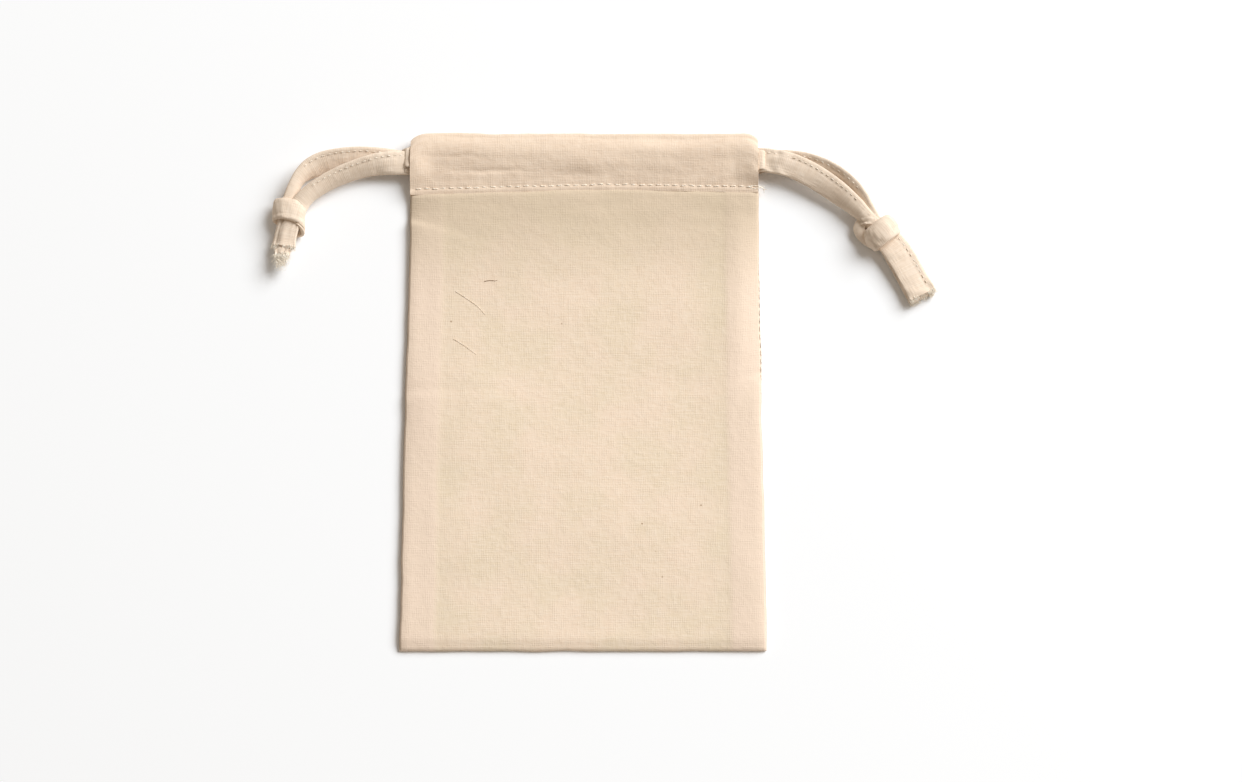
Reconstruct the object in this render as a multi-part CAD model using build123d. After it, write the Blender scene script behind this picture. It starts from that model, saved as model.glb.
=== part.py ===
from build123d import *
import math
import os

# A flat, empty muslin bag with two drawstrings, lying on its back.
# Millimetres. +X to the right, +Y towards the mouth, +Z up from the surface it lies on.
# The origin is on that surface, under the middle of the bag.

# Driving dimensions of the bag.
bag_width = 102.0  # one side seam to the other
bag_height = 152.0  # bottom fold to mouth
cloth = 0.4  # one ply of muslin
seam_allowance = 10.0  # raw edges turned in at each side
hem_lip = 1.7  # hem that shows below the casing's stitch line
panel_slope = 1.5  # length over which the front drops from the hem to the body

# Driving dimensions of the drawstrings, a folded tape of the same muslin.
tape_width = 6.5
tape_thickness = 1.2
tape_clearance = 0.15  # air above and below a tape in its casing
lane_gap = 0.3  # air beside a tape in its casing
mouth_gap = 0.2  # air between the front and the back casing

# The casing closes on its stitch line over this flat foot and this ramp.
casing_foot = 0.2
casing_ramp = 1.4

# Thread.
stitch_length = 1.9
stitch_pitch = 2.4
stitch_width = 0.35
stitch_sunk = 0.15  # the stitches pull this deep into the cloth
stitch_margin = 1.2  # from a side seam to the first stitch
seam_thread = 0.35  # thickness of the side seam's thread at the bag's edge

# Knots: across the cord, along it, and high.
left_knot_size = (9.8, 8.4, 6.0)
right_knot_size = (10.6, 8.8, 6.4)
knot_round = 2.2

# Each strand's route: offsets in X and Y from the casing's end, outward being +X.
# The left bag end mirrors X. Every strand runs on through its knot to its cut tail.
left_front_route = [
    (0.0, 0.0), (7.6, 0.0), (15.7, -1.5), (23.2, -4.7), (30.0, -9.5),
    (33.8, -15.3), (35.6, -21.8), (36.1, -26.8),
]
left_back_route = [
    (0.0, 0.0), (8.8, 0.0), (17.8, -0.9), (25.8, -3.9), (31.4, -8.9),
    (34.3, -15.2), (35.6, -21.4), (36.0, -26.2),
]
right_front_route = [
    (0.0, 0.0), (6.4, 0.0), (13.2, -1.4), (19.3, -5.3), (24.9, -10.6),
    (29.4, -16.8), (34.4, -25.2), (40.2, -34.4), (46.0, -44.6),
]
right_back_route = [
    (0.0, 0.0), (8.2, 0.0), (16.4, -1.9), (23.2, -6.5), (28.3, -12.9),
    (31.9, -19.9), (37.6, -30.6), (44.4, -42.8),
]
left_knot_offset, left_knot_heading = (34.1, -14.0), -78.0
right_knot_offset, right_knot_heading = (33.9, -25.2), -58.0

# Levels in the casing, from the surface up. The front is above the back.
tunnel = tape_thickness + 2 * tape_clearance
back_hem_z = cloth + tunnel
front_hem_z = back_hem_z + cloth + mouth_gap
front_face_z = front_hem_z + cloth + tunnel
casing_top_z = front_face_z + cloth
back_tape_z = cloth + tunnel / 2
front_tape_z = front_hem_z + cloth + tunnel / 2

# Levels on the stitch line: a face and a double hem, twice.
back_hem_foot_z = cloth
front_hem_foot_z = back_hem_foot_z + 2 * cloth
front_face_foot_z = front_hem_foot_z + 2 * cloth

# Levels in the body: two panels with two seam allowances between them.
front_panel_z = 3 * cloth
bottom_fold_radius = 2 * cloth

# Places in Y. The casing is as deep as its two tapes side by side need.
top_fold_radius = (tunnel + 2 * cloth) / 2
mouth_y = bag_height / 2
bottom_y = -bag_height / 2
top_fold_y = mouth_y - top_fold_radius
right_lane_y = top_fold_y - tape_width / 2
left_lane_y = right_lane_y - tape_width - lane_gap
ramp_top_y = left_lane_y - tape_width / 2 - lane_gap
ramp_foot_y = ramp_top_y - casing_ramp
stitch_y = ramp_foot_y - casing_foot
lip_y = stitch_y - hem_lip
bottom_fold_y = bottom_y + bottom_fold_radius
half_width = bag_width / 2

parts = {}


def across(points, width=bag_width):
    """A solid with this outline in Y and Z, centred across the bag in X."""
    outline = Polyline(*[(0, y, z) for y, z in points], close=True)
    return extrude(make_face(outline), width / 2, (1, 0, 0), both=True)


def ply(low_y, high_y, low_z, high_z):
    """A flat ply, as wide as the bag."""
    return across([(low_y, low_z), (high_y, low_z), (high_y, high_z), (low_y, high_z)])


def fold(y, low_z, outer_radius, facing):
    """A half round fold of one ply, open away from facing, which is +1 or -1 in Y."""
    middle_z = low_z + outer_radius
    ring = Cylinder(outer_radius, bag_width) - Cylinder(outer_radius - cloth, bag_width)
    keep = Pos(0, facing * outer_radius, 0) * Box(bag_width, 2 * outer_radius, 2 * outer_radius)
    return Pos(0, y, middle_z) * ((Rot(0, 90, 0) * ring) & keep)


# Body: one cloth, folded at the bottom.
parts["back_panel"] = ply(bottom_fold_y, lip_y, 0, cloth)
parts["bottom_fold"] = fold(bottom_fold_y, 0, bottom_fold_radius, -1)
slope_foot_y = lip_y - panel_slope
parts["front_panel"] = across([
    (bottom_fold_y, front_panel_z),
    (slope_foot_y, front_panel_z),
    (lip_y, front_face_foot_z),
    (lip_y, front_face_foot_z + cloth),
    (slope_foot_y, front_panel_z + cloth),
    (bottom_fold_y, front_panel_z + cloth),
])

# Casings: the face, the fold at the mouth, and the hem with its turned-under edge.
stitch_groove = Box(bag_width, stitch_width, 2 * stitch_sunk)
parts["back_casing"] = ply(lip_y, top_fold_y, 0, cloth) - Pos(0, stitch_y, 0) * stitch_groove
front_casing = across([
    (lip_y, front_face_foot_z),
    (ramp_foot_y, front_face_foot_z),
    (ramp_top_y, front_face_z),
    (top_fold_y, front_face_z),
    (top_fold_y, casing_top_z),
    (ramp_top_y, casing_top_z),
    (ramp_foot_y, front_face_foot_z + cloth),
    (lip_y, front_face_foot_z + cloth),
])
front_stitch_z = front_face_foot_z + cloth
parts["front_casing"] = front_casing - Pos(0, stitch_y, front_stitch_z) * stitch_groove
parts["back_casing_fold"] = fold(top_fold_y, 0, top_fold_radius, 1)
parts["front_casing_fold"] = fold(top_fold_y, front_hem_z, top_fold_radius, 1)
parts["back_casing_hem"] = across([
    (lip_y, back_hem_foot_z),
    (ramp_foot_y, back_hem_foot_z),
    (ramp_foot_y, back_hem_foot_z + cloth),
    (ramp_top_y, back_hem_z),
    (top_fold_y, back_hem_z),
    (top_fold_y, back_hem_z + cloth),
    (ramp_top_y, back_hem_z + cloth),
    (ramp_foot_y, back_hem_foot_z + 2 * cloth),
    (lip_y, back_hem_foot_z + 2 * cloth),
])
parts["front_casing_hem"] = across([
    (lip_y, front_hem_foot_z),
    (ramp_foot_y, front_hem_foot_z),
    (ramp_top_y, front_hem_z),
    (top_fold_y, front_hem_z),
    (top_fold_y, front_hem_z + cloth),
    (ramp_top_y, front_hem_z + cloth),
    (ramp_foot_y, front_hem_foot_z + cloth),
    (ramp_foot_y, front_hem_foot_z + 2 * cloth),
    (lip_y, front_hem_foot_z + 2 * cloth),
])

# Side seams: two turned-in plies each, and the thread that holds them at the edge.
seam_length = lip_y - bottom_fold_y
seam_middle_y = (lip_y + bottom_fold_y) / 2
allowance = Box(seam_allowance - seam_thread, seam_length, cloth)
allowance_x = half_width - (seam_allowance + seam_thread) / 2
thread = Box(seam_thread, seam_length, 2 * cloth)
for name, side in (("left", -1), ("right", 1)):
    for ply_name, ply_z in (("back", 1.5 * cloth), ("front", 2.5 * cloth)):
        place = Pos(side * allowance_x, seam_middle_y, ply_z)
        parts[f"{name}_{ply_name}_seam_allowance"] = place * allowance
    place = Pos(side * (half_width - seam_thread / 2), seam_middle_y, 2 * cloth)
    parts[f"{name}_seam_thread"] = place * thread

# Casing stitches: one row of separate stitches in each face's groove.
stitch_room = bag_width - 2 * stitch_margin - stitch_length
stitch_count = int(stitch_room // stitch_pitch) + 1
first_stitch_x = -(stitch_count - 1) * stitch_pitch / 2
stitch = Box(stitch_length, stitch_width, stitch_sunk)
for name, middle_z in (("back", stitch_sunk / 2), ("front", front_stitch_z - stitch_sunk / 2)):
    row = [
        Pos(first_stitch_x + i * stitch_pitch, stitch_y, middle_z) * stitch
        for i in range(stitch_count)
    ]
    parts[f"{name}_casing_stitches"] = Compound(children=row)


def held_run(lane_y, side):
    """The tape in both casings, looped round the casing's end at X = side * half_width."""
    loop_radius = (front_tape_z - back_tape_z) / 2
    middle_z = (front_tape_z + back_tape_z) / 2
    slab = Box(tape_width, bag_width, tape_thickness)
    run = Pos(0, 0, loop_radius) * slab + Pos(0, 0, -loop_radius) * slab
    outer = Cylinder(loop_radius + tape_thickness / 2, tape_width)
    inner = Cylinder(loop_radius - tape_thickness / 2, tape_width)
    reach = loop_radius + tape_thickness
    keep = Pos(0, reach / 2, 0) * Box(tape_width, reach, 2 * reach)
    loop = (Rot(0, 90, 0) * (outer - inner)) & keep
    tape = run + Pos(0, half_width, 0) * loop
    return Pos(0, lane_y, middle_z) * Rot(0, 0, -90 * side) * tape


def strand(route, lane_y, tape_z, side, name):
    """A free strand: a flat tape along straight runs joined by tangent arcs."""
    points = [Vector(side * (half_width + x), lane_y + y, tape_z) for x, y in route]
    runs = [b - a for a, b in zip(points, points[1:])]
    radii = []
    for before, after in zip(runs, runs[1:]):
        half_turn = math.radians(before.get_angle(after)) / 2
        radii.append(0.45 * min(before.length, after.length) / math.tan(half_turn))
    path = FilletPolyline(*points, radius=radii)
    start = Plane(origin=points[0], x_dir=(0, 0, 1), z_dir=runs[0])
    tape = sweep(start * Rectangle(tape_thickness, tape_width), path=path)
    expected = tape_thickness * tape_width * path.length
    print(name, "length", round(path.length, 1), "radii", [round(r, 1) for r in radii])
    print(name, "volume", round(tape.volume, 1), "section times length", round(expected, 1))
    return tape


def knot(size, offset, heading, lane_y, side):
    """A rounded block as big as the tied knot, resting on the surface."""
    block = Box(*size, align=(Align.CENTER, Align.CENTER, Align.MIN))
    block = fillet(block.edges(), knot_round)
    x, y = offset
    turn = side * (heading + 90)
    return Pos(side * (half_width + x), lane_y + y, 0) * Rot(0, 0, turn) * block


# Drawstrings: each comes out at its own side and loops round the other end.
parts["left_drawstring_run"] = held_run(left_lane_y, 1)
parts["right_drawstring_run"] = held_run(right_lane_y, -1)
for name, side, lane_y, front_route, back_route in (
    ("left", -1, left_lane_y, left_front_route, left_back_route),
    ("right", 1, right_lane_y, right_front_route, right_back_route),
):
    front_name, back_name = f"{name}_strand_front", f"{name}_strand_back"
    parts[front_name] = strand(front_route, lane_y, front_tape_z, side, front_name)
    parts[back_name] = strand(back_route, lane_y, back_tape_z, side, back_name)
parts["left_knot"] = knot(left_knot_size, left_knot_offset, left_knot_heading, left_lane_y, -1)
parts["right_knot"] = knot(
    right_knot_size, right_knot_offset, right_knot_heading, right_lane_y, 1
)

os.makedirs("parts", exist_ok=True)
for name, shape in parts.items():
    export_step(shape, f"parts/{name}.step")
print(len(parts), "nodes; casing", round(mouth_y - stitch_y, 2), "deep,", casing_top_z, "thick")
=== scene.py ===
# %% [markdown]
# # A flat muslin bag with two knotted drawstrings
# The real bag is one strip of unbleached cotton muslin, folded at the bottom and sewn up its two
# sides. Its mouth is turned over into a casing, front and back, and two flat tapes of the same
# cloth run through both casings. Each tape comes out at one side and is knotted there.
# This notebook lays the cloth, the tapes and the threads around a fixed frame of plain solids, so
# that every piece has its true size, and the pieces of each tape move with their drawstring.

# %% Load the frame
import math
import random

import bmesh
import bpy
from mathutils import Matrix, Vector, noise


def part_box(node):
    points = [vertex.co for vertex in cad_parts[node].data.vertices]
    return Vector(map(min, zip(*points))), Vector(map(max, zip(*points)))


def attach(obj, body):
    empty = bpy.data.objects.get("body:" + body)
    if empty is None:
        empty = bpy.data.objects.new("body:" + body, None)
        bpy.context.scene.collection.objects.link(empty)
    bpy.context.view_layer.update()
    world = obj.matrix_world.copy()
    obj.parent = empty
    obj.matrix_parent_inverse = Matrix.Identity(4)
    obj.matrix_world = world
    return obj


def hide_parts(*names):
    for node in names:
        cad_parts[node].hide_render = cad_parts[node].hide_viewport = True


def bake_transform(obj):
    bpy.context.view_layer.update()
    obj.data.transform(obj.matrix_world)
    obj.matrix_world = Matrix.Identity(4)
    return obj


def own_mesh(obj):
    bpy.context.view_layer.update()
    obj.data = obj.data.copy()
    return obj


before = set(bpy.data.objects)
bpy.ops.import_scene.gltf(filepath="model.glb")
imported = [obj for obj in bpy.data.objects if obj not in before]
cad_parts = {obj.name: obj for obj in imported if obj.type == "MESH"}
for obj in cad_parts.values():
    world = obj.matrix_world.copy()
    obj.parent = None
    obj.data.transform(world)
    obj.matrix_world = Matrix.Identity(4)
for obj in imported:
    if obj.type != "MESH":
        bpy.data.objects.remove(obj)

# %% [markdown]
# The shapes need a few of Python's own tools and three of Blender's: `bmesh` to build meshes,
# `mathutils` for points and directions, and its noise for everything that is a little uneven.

MM = 0.001
UP = Vector((0, 0, 1))
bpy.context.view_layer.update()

# %% [markdown]
# ## Measures
# Every place below is worked out from the frame's solids: the cloth's edges, the stitch line and
# the two lanes in which the tapes lie. They are kept in millimetres, because that is how a sewer
# thinks of them, and are turned to metres only where a point is handed to Blender.

# %% Read the measures from the frame
def node_box(name):
    """A node's lowest and highest corner in millimetres."""
    return [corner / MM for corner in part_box(name)]


back_low, back_high = node_box("back_panel")
fold_low, fold_high = node_box("bottom_fold")
face_low, face_high = node_box("front_casing")
front_fold_low, front_fold_high = node_box("front_casing_fold")
back_fold_low, back_fold_high = node_box("back_casing_fold")
stitches_low, stitches_high = node_box("front_casing_stitches")

HALF_WIDTH = face_high.x
CLOTH = back_high.z - back_low.z
MOUTH_Y = front_fold_high.y
TOP_FOLD_Y = front_fold_low.y
TOP_FOLD_RADIUS = (back_fold_high.z - back_fold_low.z) / 2
LIP_Y = face_low.y
STITCH_Y = (stitches_low.y + stitches_high.y) / 2
BOTTOM_FOLD_Y = fold_high.y
BOTTOM_FOLD_RADIUS = (fold_high.z - fold_low.z) / 2
print("half width", HALF_WIDTH, "mouth", MOUTH_Y, "lip", LIP_Y, "stitch line", STITCH_Y)

# %% [markdown]
# ## Camera
# A bag that lies on a table is seen from almost straight above. The camera stands 85 cm away and
# leans 15 degrees towards the bottom of the bag, so that the front of each fold shows.

# %% Camera
CAMERA_TILT = math.radians(15.1)
CAMERA_DISTANCE = 0.85  # m
LOOK_AT = Vector((10.68 * MM, -0.74 * MM, 0))
SENSOR_WIDTH = 36  # mm
LENS_LENGTH = 86.3  # mm
camera_data = bpy.data.cameras.new("camera")
camera_data.sensor_width = SENSOR_WIDTH
camera_data.lens = LENS_LENGTH
camera = bpy.data.objects.new("camera", camera_data)
camera_back = Vector((0, -math.sin(CAMERA_TILT), math.cos(CAMERA_TILT)))
camera.location = LOOK_AT + CAMERA_DISTANCE * camera_back
camera.rotation_euler = (CAMERA_TILT, 0, 0)
bpy.context.scene.collection.objects.link(camera)
bpy.context.scene.camera = camera
print("camera at", [round(x, 4) for x in camera.location])

# %% [markdown]
# ## Small curves that shape everything
# Cloth has no sharp changes, so a height or a width is best given as a few values that a smooth
# curve runs through. `through` is that curve. `ripple` is a smooth random wave, which is the same
# at every run because Blender's noise has no hidden state.

# %% Smooth curves and ripples
def ease(x):
    """0 below 0, 1 above 1, and a smooth rise between them."""
    x = max(0.0, min(1.0, x))
    return x * x * (3 - 2 * x)


def through(values, x):
    """A smooth curve through (x, value) pairs, constant beyond the first and the last."""
    if x <= values[0][0]:
        return values[0][1]
    for k in range(len(values) - 1):
        (x0, v0), (x1, v1) = values[k], values[k + 1]
        if x < x1:
            before = values[k - 1] if k else values[k]
            after = values[k + 2] if k + 2 < len(values) else values[k + 1]
            t, wide = (x - x0) / (x1 - x0), x1 - x0
            out_slope = (v1 - before[1]) / (x1 - before[0]) * wide
            in_slope = (after[1] - v0) / (after[0] - x0) * wide
            return (v0 * (2 * t ** 3 - 3 * t ** 2 + 1) + v1 * (3 * t ** 2 - 2 * t ** 3)
                    + out_slope * (t ** 3 - 2 * t ** 2 + t) + in_slope * (t ** 3 - t ** 2))
    return values[-1][1]


def ripple(x, y, long_x, long_y, seed):
    """A smooth wave from about -1 to 1, with waves this long in x and in y. Each seed gives another."""
    return 1.6 * noise.noise(Vector((x / long_x, y / long_y, 7.3 * seed)))


def bump(x, middle, half):
    """A round bump, 1 in the middle and almost gone at twice its half width."""
    return math.exp(-(((x - middle) / half) ** 2))

# %% [markdown]
# ## The lines of the four free strands
# Two strands of each tape leave the casing, one from its front tunnel and one from its back tunnel,
# and run through the knot to a cut tail. A limp tape lies in one soft curve, so each strand's line
# is a NURBS spline with a few given control points: out of the casing, over the rounding, into
# the knot. A spline of order 3 with its end points held is smooth everywhere, and it is read back
# as a list of points by asking Blender for the mesh of the bare curve.

# %% Routes: out from the casing's end, along Y from the drawstring's lane, and height, in mm
ROUTES = {
    "left_strand_front": [
        (-1.0, 2.1, 3.2), (6.0, 2.0, 4.6), (14.5, 0.0, 4.6), (22.5, -3.4, 4.2), (28.6, -7.6, 3.9),
        (32.2, -11.9, 3.6), (34.2, -16.4, 3.5), (35.2, -20.3, 3.2), (35.5, -23.2, 2.9),
    ],
    "left_strand_back": [
        (-1.0, 2.5, 1.7), (7.5, 3.6, 2.5), (17.0, 3.9, 3.3), (25.4, 2.3, 3.5), (31.6, -2.0, 3.5),
        (33.7, -7.8, 3.3), (34.3, -13.6, 2.7), (35.2, -19.8, 2.3), (35.9, -25.8, 3.2),
    ],
    "right_strand_front": [
        (-1.0, -3.6, 3.2), (6.0, -4.4, 4.5), (13.5, -7.7, 4.4), (20.0, -12.0, 4.2), (26.0, -17.0, 4.0),
        (30.5, -21.6, 3.8), (34.8, -26.2, 3.6), (39.0, -30.6, 3.0), (43.0, -37.6, 2.4), (46.3, -44.4, 2.2),
    ],
    "right_strand_back": [
        (-1.0, -3.6, 1.7), (7.5, -3.4, 2.1), (16.0, -5.3, 3.1), (23.5, -9.3, 3.5), (29.0, -15.0, 3.5),
        (32.2, -21.4, 3.3), (35.6, -27.2, 2.5), (40.0, -33.4, 1.4), (43.3, -39.8, 1.0), (46.1, -45.2, 1.0),
    ],
}
STEP = 0.35  # spacing of the points along a tape's line, mm


def spline_line(name, places):
    """The points, in mm, of the NURBS line that has these control points."""
    curve = bpy.data.curves.new(name, "CURVE")
    curve.dimensions = "3D"
    curve.resolution_u = 24
    spline = curve.splines.new("NURBS")
    spline.points.add(len(places) - 1)
    for point, place in zip(spline.points, places):
        point.co = (*(x * MM for x in place), 1)
    spline.order_u = 3
    spline.use_endpoint_u = True
    bare = bpy.data.objects.new(name, curve)
    mesh = bpy.data.meshes.new_from_object(bare)
    line = [vertex.co / MM for vertex in mesh.vertices]
    bpy.data.objects.remove(bare)
    bpy.data.curves.remove(curve)
    bpy.data.meshes.remove(mesh)
    return line


def evenly(line, step=STEP):
    """The line again, with its points this far apart."""
    lengths = [(b - a).length for a, b in zip(line, line[1:])]
    total = sum(lengths)
    count = max(2, round(total / step))
    out, at, passed = [], 0, 0.0
    for k in range(count + 1):
        want = total * k / count
        while at < len(lengths) - 1 and passed + lengths[at] < want:
            passed += lengths[at]
            at += 1
        out.append(line[at].lerp(line[at + 1], min(1.0, (want - passed) / lengths[at])))
    return out


def line_length(line):
    return sum((b - a).length for a, b in zip(line, line[1:]))


def lane_y(side):
    """Y of the middle of the lane in which a drawstring lies in its casings."""
    low, high = node_box(f"{side}_drawstring_run")
    return (low.y + high.y) / 2


SIDES = {"left": -1, "right": 1}
lines = {}
for strand, route in ROUTES.items():
    side = strand.split("_")[0]
    sign = SIDES[side]
    places = [(sign * (HALF_WIDTH + out), lane_y(side) + y, z) for out, y, z in route]
    lines[strand] = evenly(spline_line(strand, places))
    print(strand, "line", round(line_length(lines[strand]), 1), "mm")

# %% [markdown]
# ## Materials
# Unbleached muslin is a plain weave of carded cotton yarn. The yarn is uneven, so the eye sees
# soft streaks along both thread directions, with now and then a dark fleck of seed husk. It has no
# gloss, only the faint light of its loose fibres at a grazing angle, which is what sheen is for.
# The patterns read the cloth's own UV map, which is laid out in metres, so the threads follow the
# cloth when it folds and gathers.

# %% Node helper, colours and thread sizes
def linear(hex_colour):
    """A #rrggbb sRGB colour as linear RGBA."""
    parts = [int(hex_colour[i : i + 2], 16) / 255 for i in (1, 3, 5)]
    return [x / 12.92 if x <= 0.04045 else ((x + 0.055) / 1.055) ** 2.4 for x in parts] + [1.0]


def add(tree, kind, inputs, out=0, **settings):
    """Adds a node and returns its output. inputs gives each socket a value or another node's output."""
    made = tree.nodes.new("ShaderNode" + kind)
    for name, value in settings.items():
        setattr(made, name, value)
    for socket, value in inputs.items():
        if isinstance(value, bpy.types.NodeSocket):
            tree.links.new(value, made.inputs[socket])
        else:
            made.inputs[socket].default_value = value
    return made.outputs[out]


# A Mix node keeps a set of sockets for each kind of value: these are the ones for colours.
SHARE, FROM, TO, MIXED = 0, 6, 7, 2

# %% [markdown]
# The weave is two sets of soft bands, warp along the bag and weft across it, one band to a thread.
# Real muslin has about 24 threads to the centimetre, 0.42 mm apart. Drawn that fine they vanish
# from half a metre away, so they are drawn 0.5 mm apart. Slubs, the thick places in a yarn, are
# noise stretched along the thread. Each pattern gives both a colour change and a little height.

# %% Muslin
THREAD_PITCH = 0.5  # mm, coarser than the real 0.42 so that it shows
WAVE_PERIOD = 0.314  # length of one band of a Wave Texture of scale 1


def muslin(name, light, streak, shade, seam_band_and_shade=False):
    """Unbleached plain weave cotton: matt, uneven in colour, with slubs and a few seed flecks.

    When its last argument is set it is the body's cloth: paler over the seams, with painted shade just
    inside them and below the hem.
    """
    material = bpy.data.materials.new(name)
    material.use_nodes = True
    tree = material.node_tree
    tree.nodes.clear()
    cloth = add(tree, "UVMap", {}, uv_map="cloth")
    place = add(tree, "Mapping", {"Vector": cloth, "Scale": (1000, 1000, 1000)})  # millimetres

    # Threads, a little wavy, and broken up so that no two run alike.
    thread = {"Vector": place, "Scale": WAVE_PERIOD / THREAD_PITCH, "Distortion": 2.2,
              "Detail": 2.0, "Detail Scale": 0.7}
    warp = add(tree, "TexWave", thread, out=1, wave_type="BANDS", bands_direction="X")
    weft = add(tree, "TexWave", thread, out=1, wave_type="BANDS", bands_direction="Y")
    weave = add(tree, "Math", {0: warp, 1: weft}, operation="ADD")
    uneven = add(tree, "TexNoise", {"Vector": place, "Scale": 0.45, "Detail": 2.0, "Roughness": 0.6})
    uneven = add(tree, "MapRange", {0: uneven, 1: 0.42, 2: 0.62, 3: 0.0, 4: 1.0})

    # Slubs: noise stretched along the weft, then along the warp.
    across = add(tree, "Mapping", {"Vector": place, "Scale": (0.22, 2.3, 1.0)})
    along = add(tree, "Mapping", {"Vector": place, "Scale": (2.3, 0.22, 1.0)})
    noisy = {"Scale": 1.0, "Detail": 3.0, "Roughness": 0.65}
    weft_slub = add(tree, "TexNoise", {"Vector": across, **noisy})
    warp_slub = add(tree, "TexNoise", {"Vector": along, **noisy})
    slub = add(tree, "Math", {0: weft_slub, 1: 0.62}, operation="MULTIPLY")
    slub = add(tree, "Math", {0: warp_slub, 1: 0.38, 2: slub}, operation="MULTIPLY_ADD")
    slub_high = add(tree, "MapRange", {0: slub, 1: 0.42, 2: 0.62})

    # Colour: large soft patches, then streaks, then painted shade in the gaps between the threads.
    patches = add(tree, "TexNoise", {"Vector": place, "Scale": 0.06, "Detail": 3.0, "Roughness": 0.55})
    patch_share = add(tree, "MapRange", {0: patches, 1: 0.40, 2: 0.62, 3: 0.0, 4: 0.85})
    colour = add(tree, "Mix", {SHARE: patch_share, FROM: linear(light), TO: linear(shade)},
                 out=MIXED, data_type="RGBA")
    streak_share = add(tree, "Math", {0: slub_high, 1: 0.6}, operation="MULTIPLY")
    colour = add(tree, "Mix", {SHARE: streak_share, FROM: colour, TO: linear(streak)},
                 out=MIXED, data_type="RGBA")
    # Painted shade: the gaps between the threads take a darker brown.
    gap_shade_share = add(tree, "MapRange", {0: weave, 1: 0.2, 2: 1.1, 3: 0.10, 4: 0.0})
    gap_shade_share = add(tree, "Math", {0: gap_shade_share, 1: uneven}, operation="MULTIPLY")
    colour = add(tree, "Mix", {SHARE: gap_shade_share, FROM: colour, TO: linear("#B89A78")},
                 out=MIXED, data_type="RGBA")

    # Seed flecks, about one to the square centimetre, only in some cells.
    cell = {"Vector": place, "Scale": 0.15, "Randomness": 1.0}
    fleck_near = add(tree, "TexVoronoi", cell)
    fleck_kind = add(tree, "TexVoronoi", cell, out=1)
    fleck_pick = add(tree, "MapRange", {0: fleck_kind, 1: 0.55, 2: 0.6, 3: 0.0, 4: 0.75})
    fleck_dot = add(tree, "MapRange", {0: fleck_near, 1: 0.028, 2: 0.055, 3: 1.0, 4: 0.0})
    fleck = add(tree, "Math", {0: fleck_dot, 1: fleck_pick}, operation="MULTIPLY")
    colour = add(tree, "Mix", {SHARE: fleck, FROM: colour, TO: linear("#8A6440")},
                 out=MIXED, data_type="RGBA")
    if seam_band_and_shade:
        # Painted shade: a little darker just inside the turned-in plies. Where the plies lie under the
        # cloth it is denser, so paler and warmer.
        split = add(tree, "SeparateXYZ", {0: place})
        flat = add(tree, "Math", {0: split}, operation="ABSOLUTE")
        shade_inside_seam = add(tree, "MapRange", {0: flat, 1: SEAM_BAND_X - 11, 2: SEAM_BAND_X - 1, 3: 0.0, 4: 0.22},
                  interpolation_type="SMOOTHSTEP")
        colour = add(tree, "Mix", {SHARE: shade_inside_seam, FROM: colour, TO: linear("#DCCBAF")},
                     out=MIXED, data_type="RGBA")
        over_seam = {0: flat, 1: SEAM_BAND_X - 0.6, 2: SEAM_BAND_X + 1.0, 3: 0.0, 4: 0.7}
        band = add(tree, "MapRange", over_seam)
        colour = add(tree, "Mix", {SHARE: band, FROM: colour, TO: linear("#F1D9C4")},
                     out=MIXED, data_type="RGBA")
        # Painted shade below the hem: the thick casing shades the front and holds it off the back, and
        # less light comes back through the cloth there than where it lies flat on its white ground.
        upward = add(tree, "SeparateXYZ", {0: place}, out=1)
        below_hem = {0: upward, 1: FRONT_HEM_ALONG - 34, 2: FRONT_HEM_ALONG - 2, 3: 0.0, 4: 0.75}
        shade_below_hem = add(tree, "MapRange", below_hem, interpolation_type="SMOOTHSTEP")
        colour = add(tree, "Mix", {SHARE: shade_below_hem, FROM: colour, TO: linear("#D3BFA4")},
                     out=MIXED, data_type="RGBA")

    # Height: threads and slubs.
    height = add(tree, "Math", {0: weave, 1: uneven}, operation="MULTIPLY")
    height = add(tree, "Math", {0: slub, 1: 2.4, 2: height}, operation="MULTIPLY_ADD")
    relief = add(tree, "Bump", {"Strength": 0.22, "Distance": 0.00018, "Height": height})
    surface = add(tree, "BsdfPrincipled", {
        "Base Color": colour, "Roughness": 0.93, "Specular IOR Level": 0.2, "IOR": 1.5,
        "Sheen Weight": 0.25, "Sheen Roughness": 0.5, "Sheen Tint": (1.0, 0.93, 0.84, 1.0),
        "Normal": relief,
    })
    output = tree.nodes.new("ShaderNodeOutputMaterial")
    tree.links.new(surface, output.inputs["Surface"])
    return material


SEAM_BAND_X = HALF_WIDTH - 10.0  # where the turned-in seam plies end
TUCK = 2.4  # the body runs this far up under the casing's hem
# How far along the body's cut, in mm, the front's hem lies.
FRONT_HEM_ALONG = 2 * (LIP_Y - BOTTOM_FOLD_Y) + TUCK + math.pi * BOTTOM_FOLD_RADIUS
BODY_MUSLIN = muslin("unbleached_muslin_body", "#F0D8BF", "#F6E4CF", "#E8D4B7", seam_band_and_shade=True)
CASING_MUSLIN = muslin("unbleached_muslin_casing", "#EDD5BC", "#F3DFCA", "#E5CCB3")
TAPE_MUSLIN = muslin("muslin_tape", "#ECD7C0", "#F5E4D1", "#E5CFB8")

# %% [markdown]
# Sewing thread is spun cotton twisted from two plies. The twist is what makes a thread look like a
# thread: slanting bands along it. It is paler than the cloth because it has been cleaned.

# %% Sewing thread
TWIST_PITCH = 0.5  # mm between the slanting bands of a thread's twist


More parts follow.
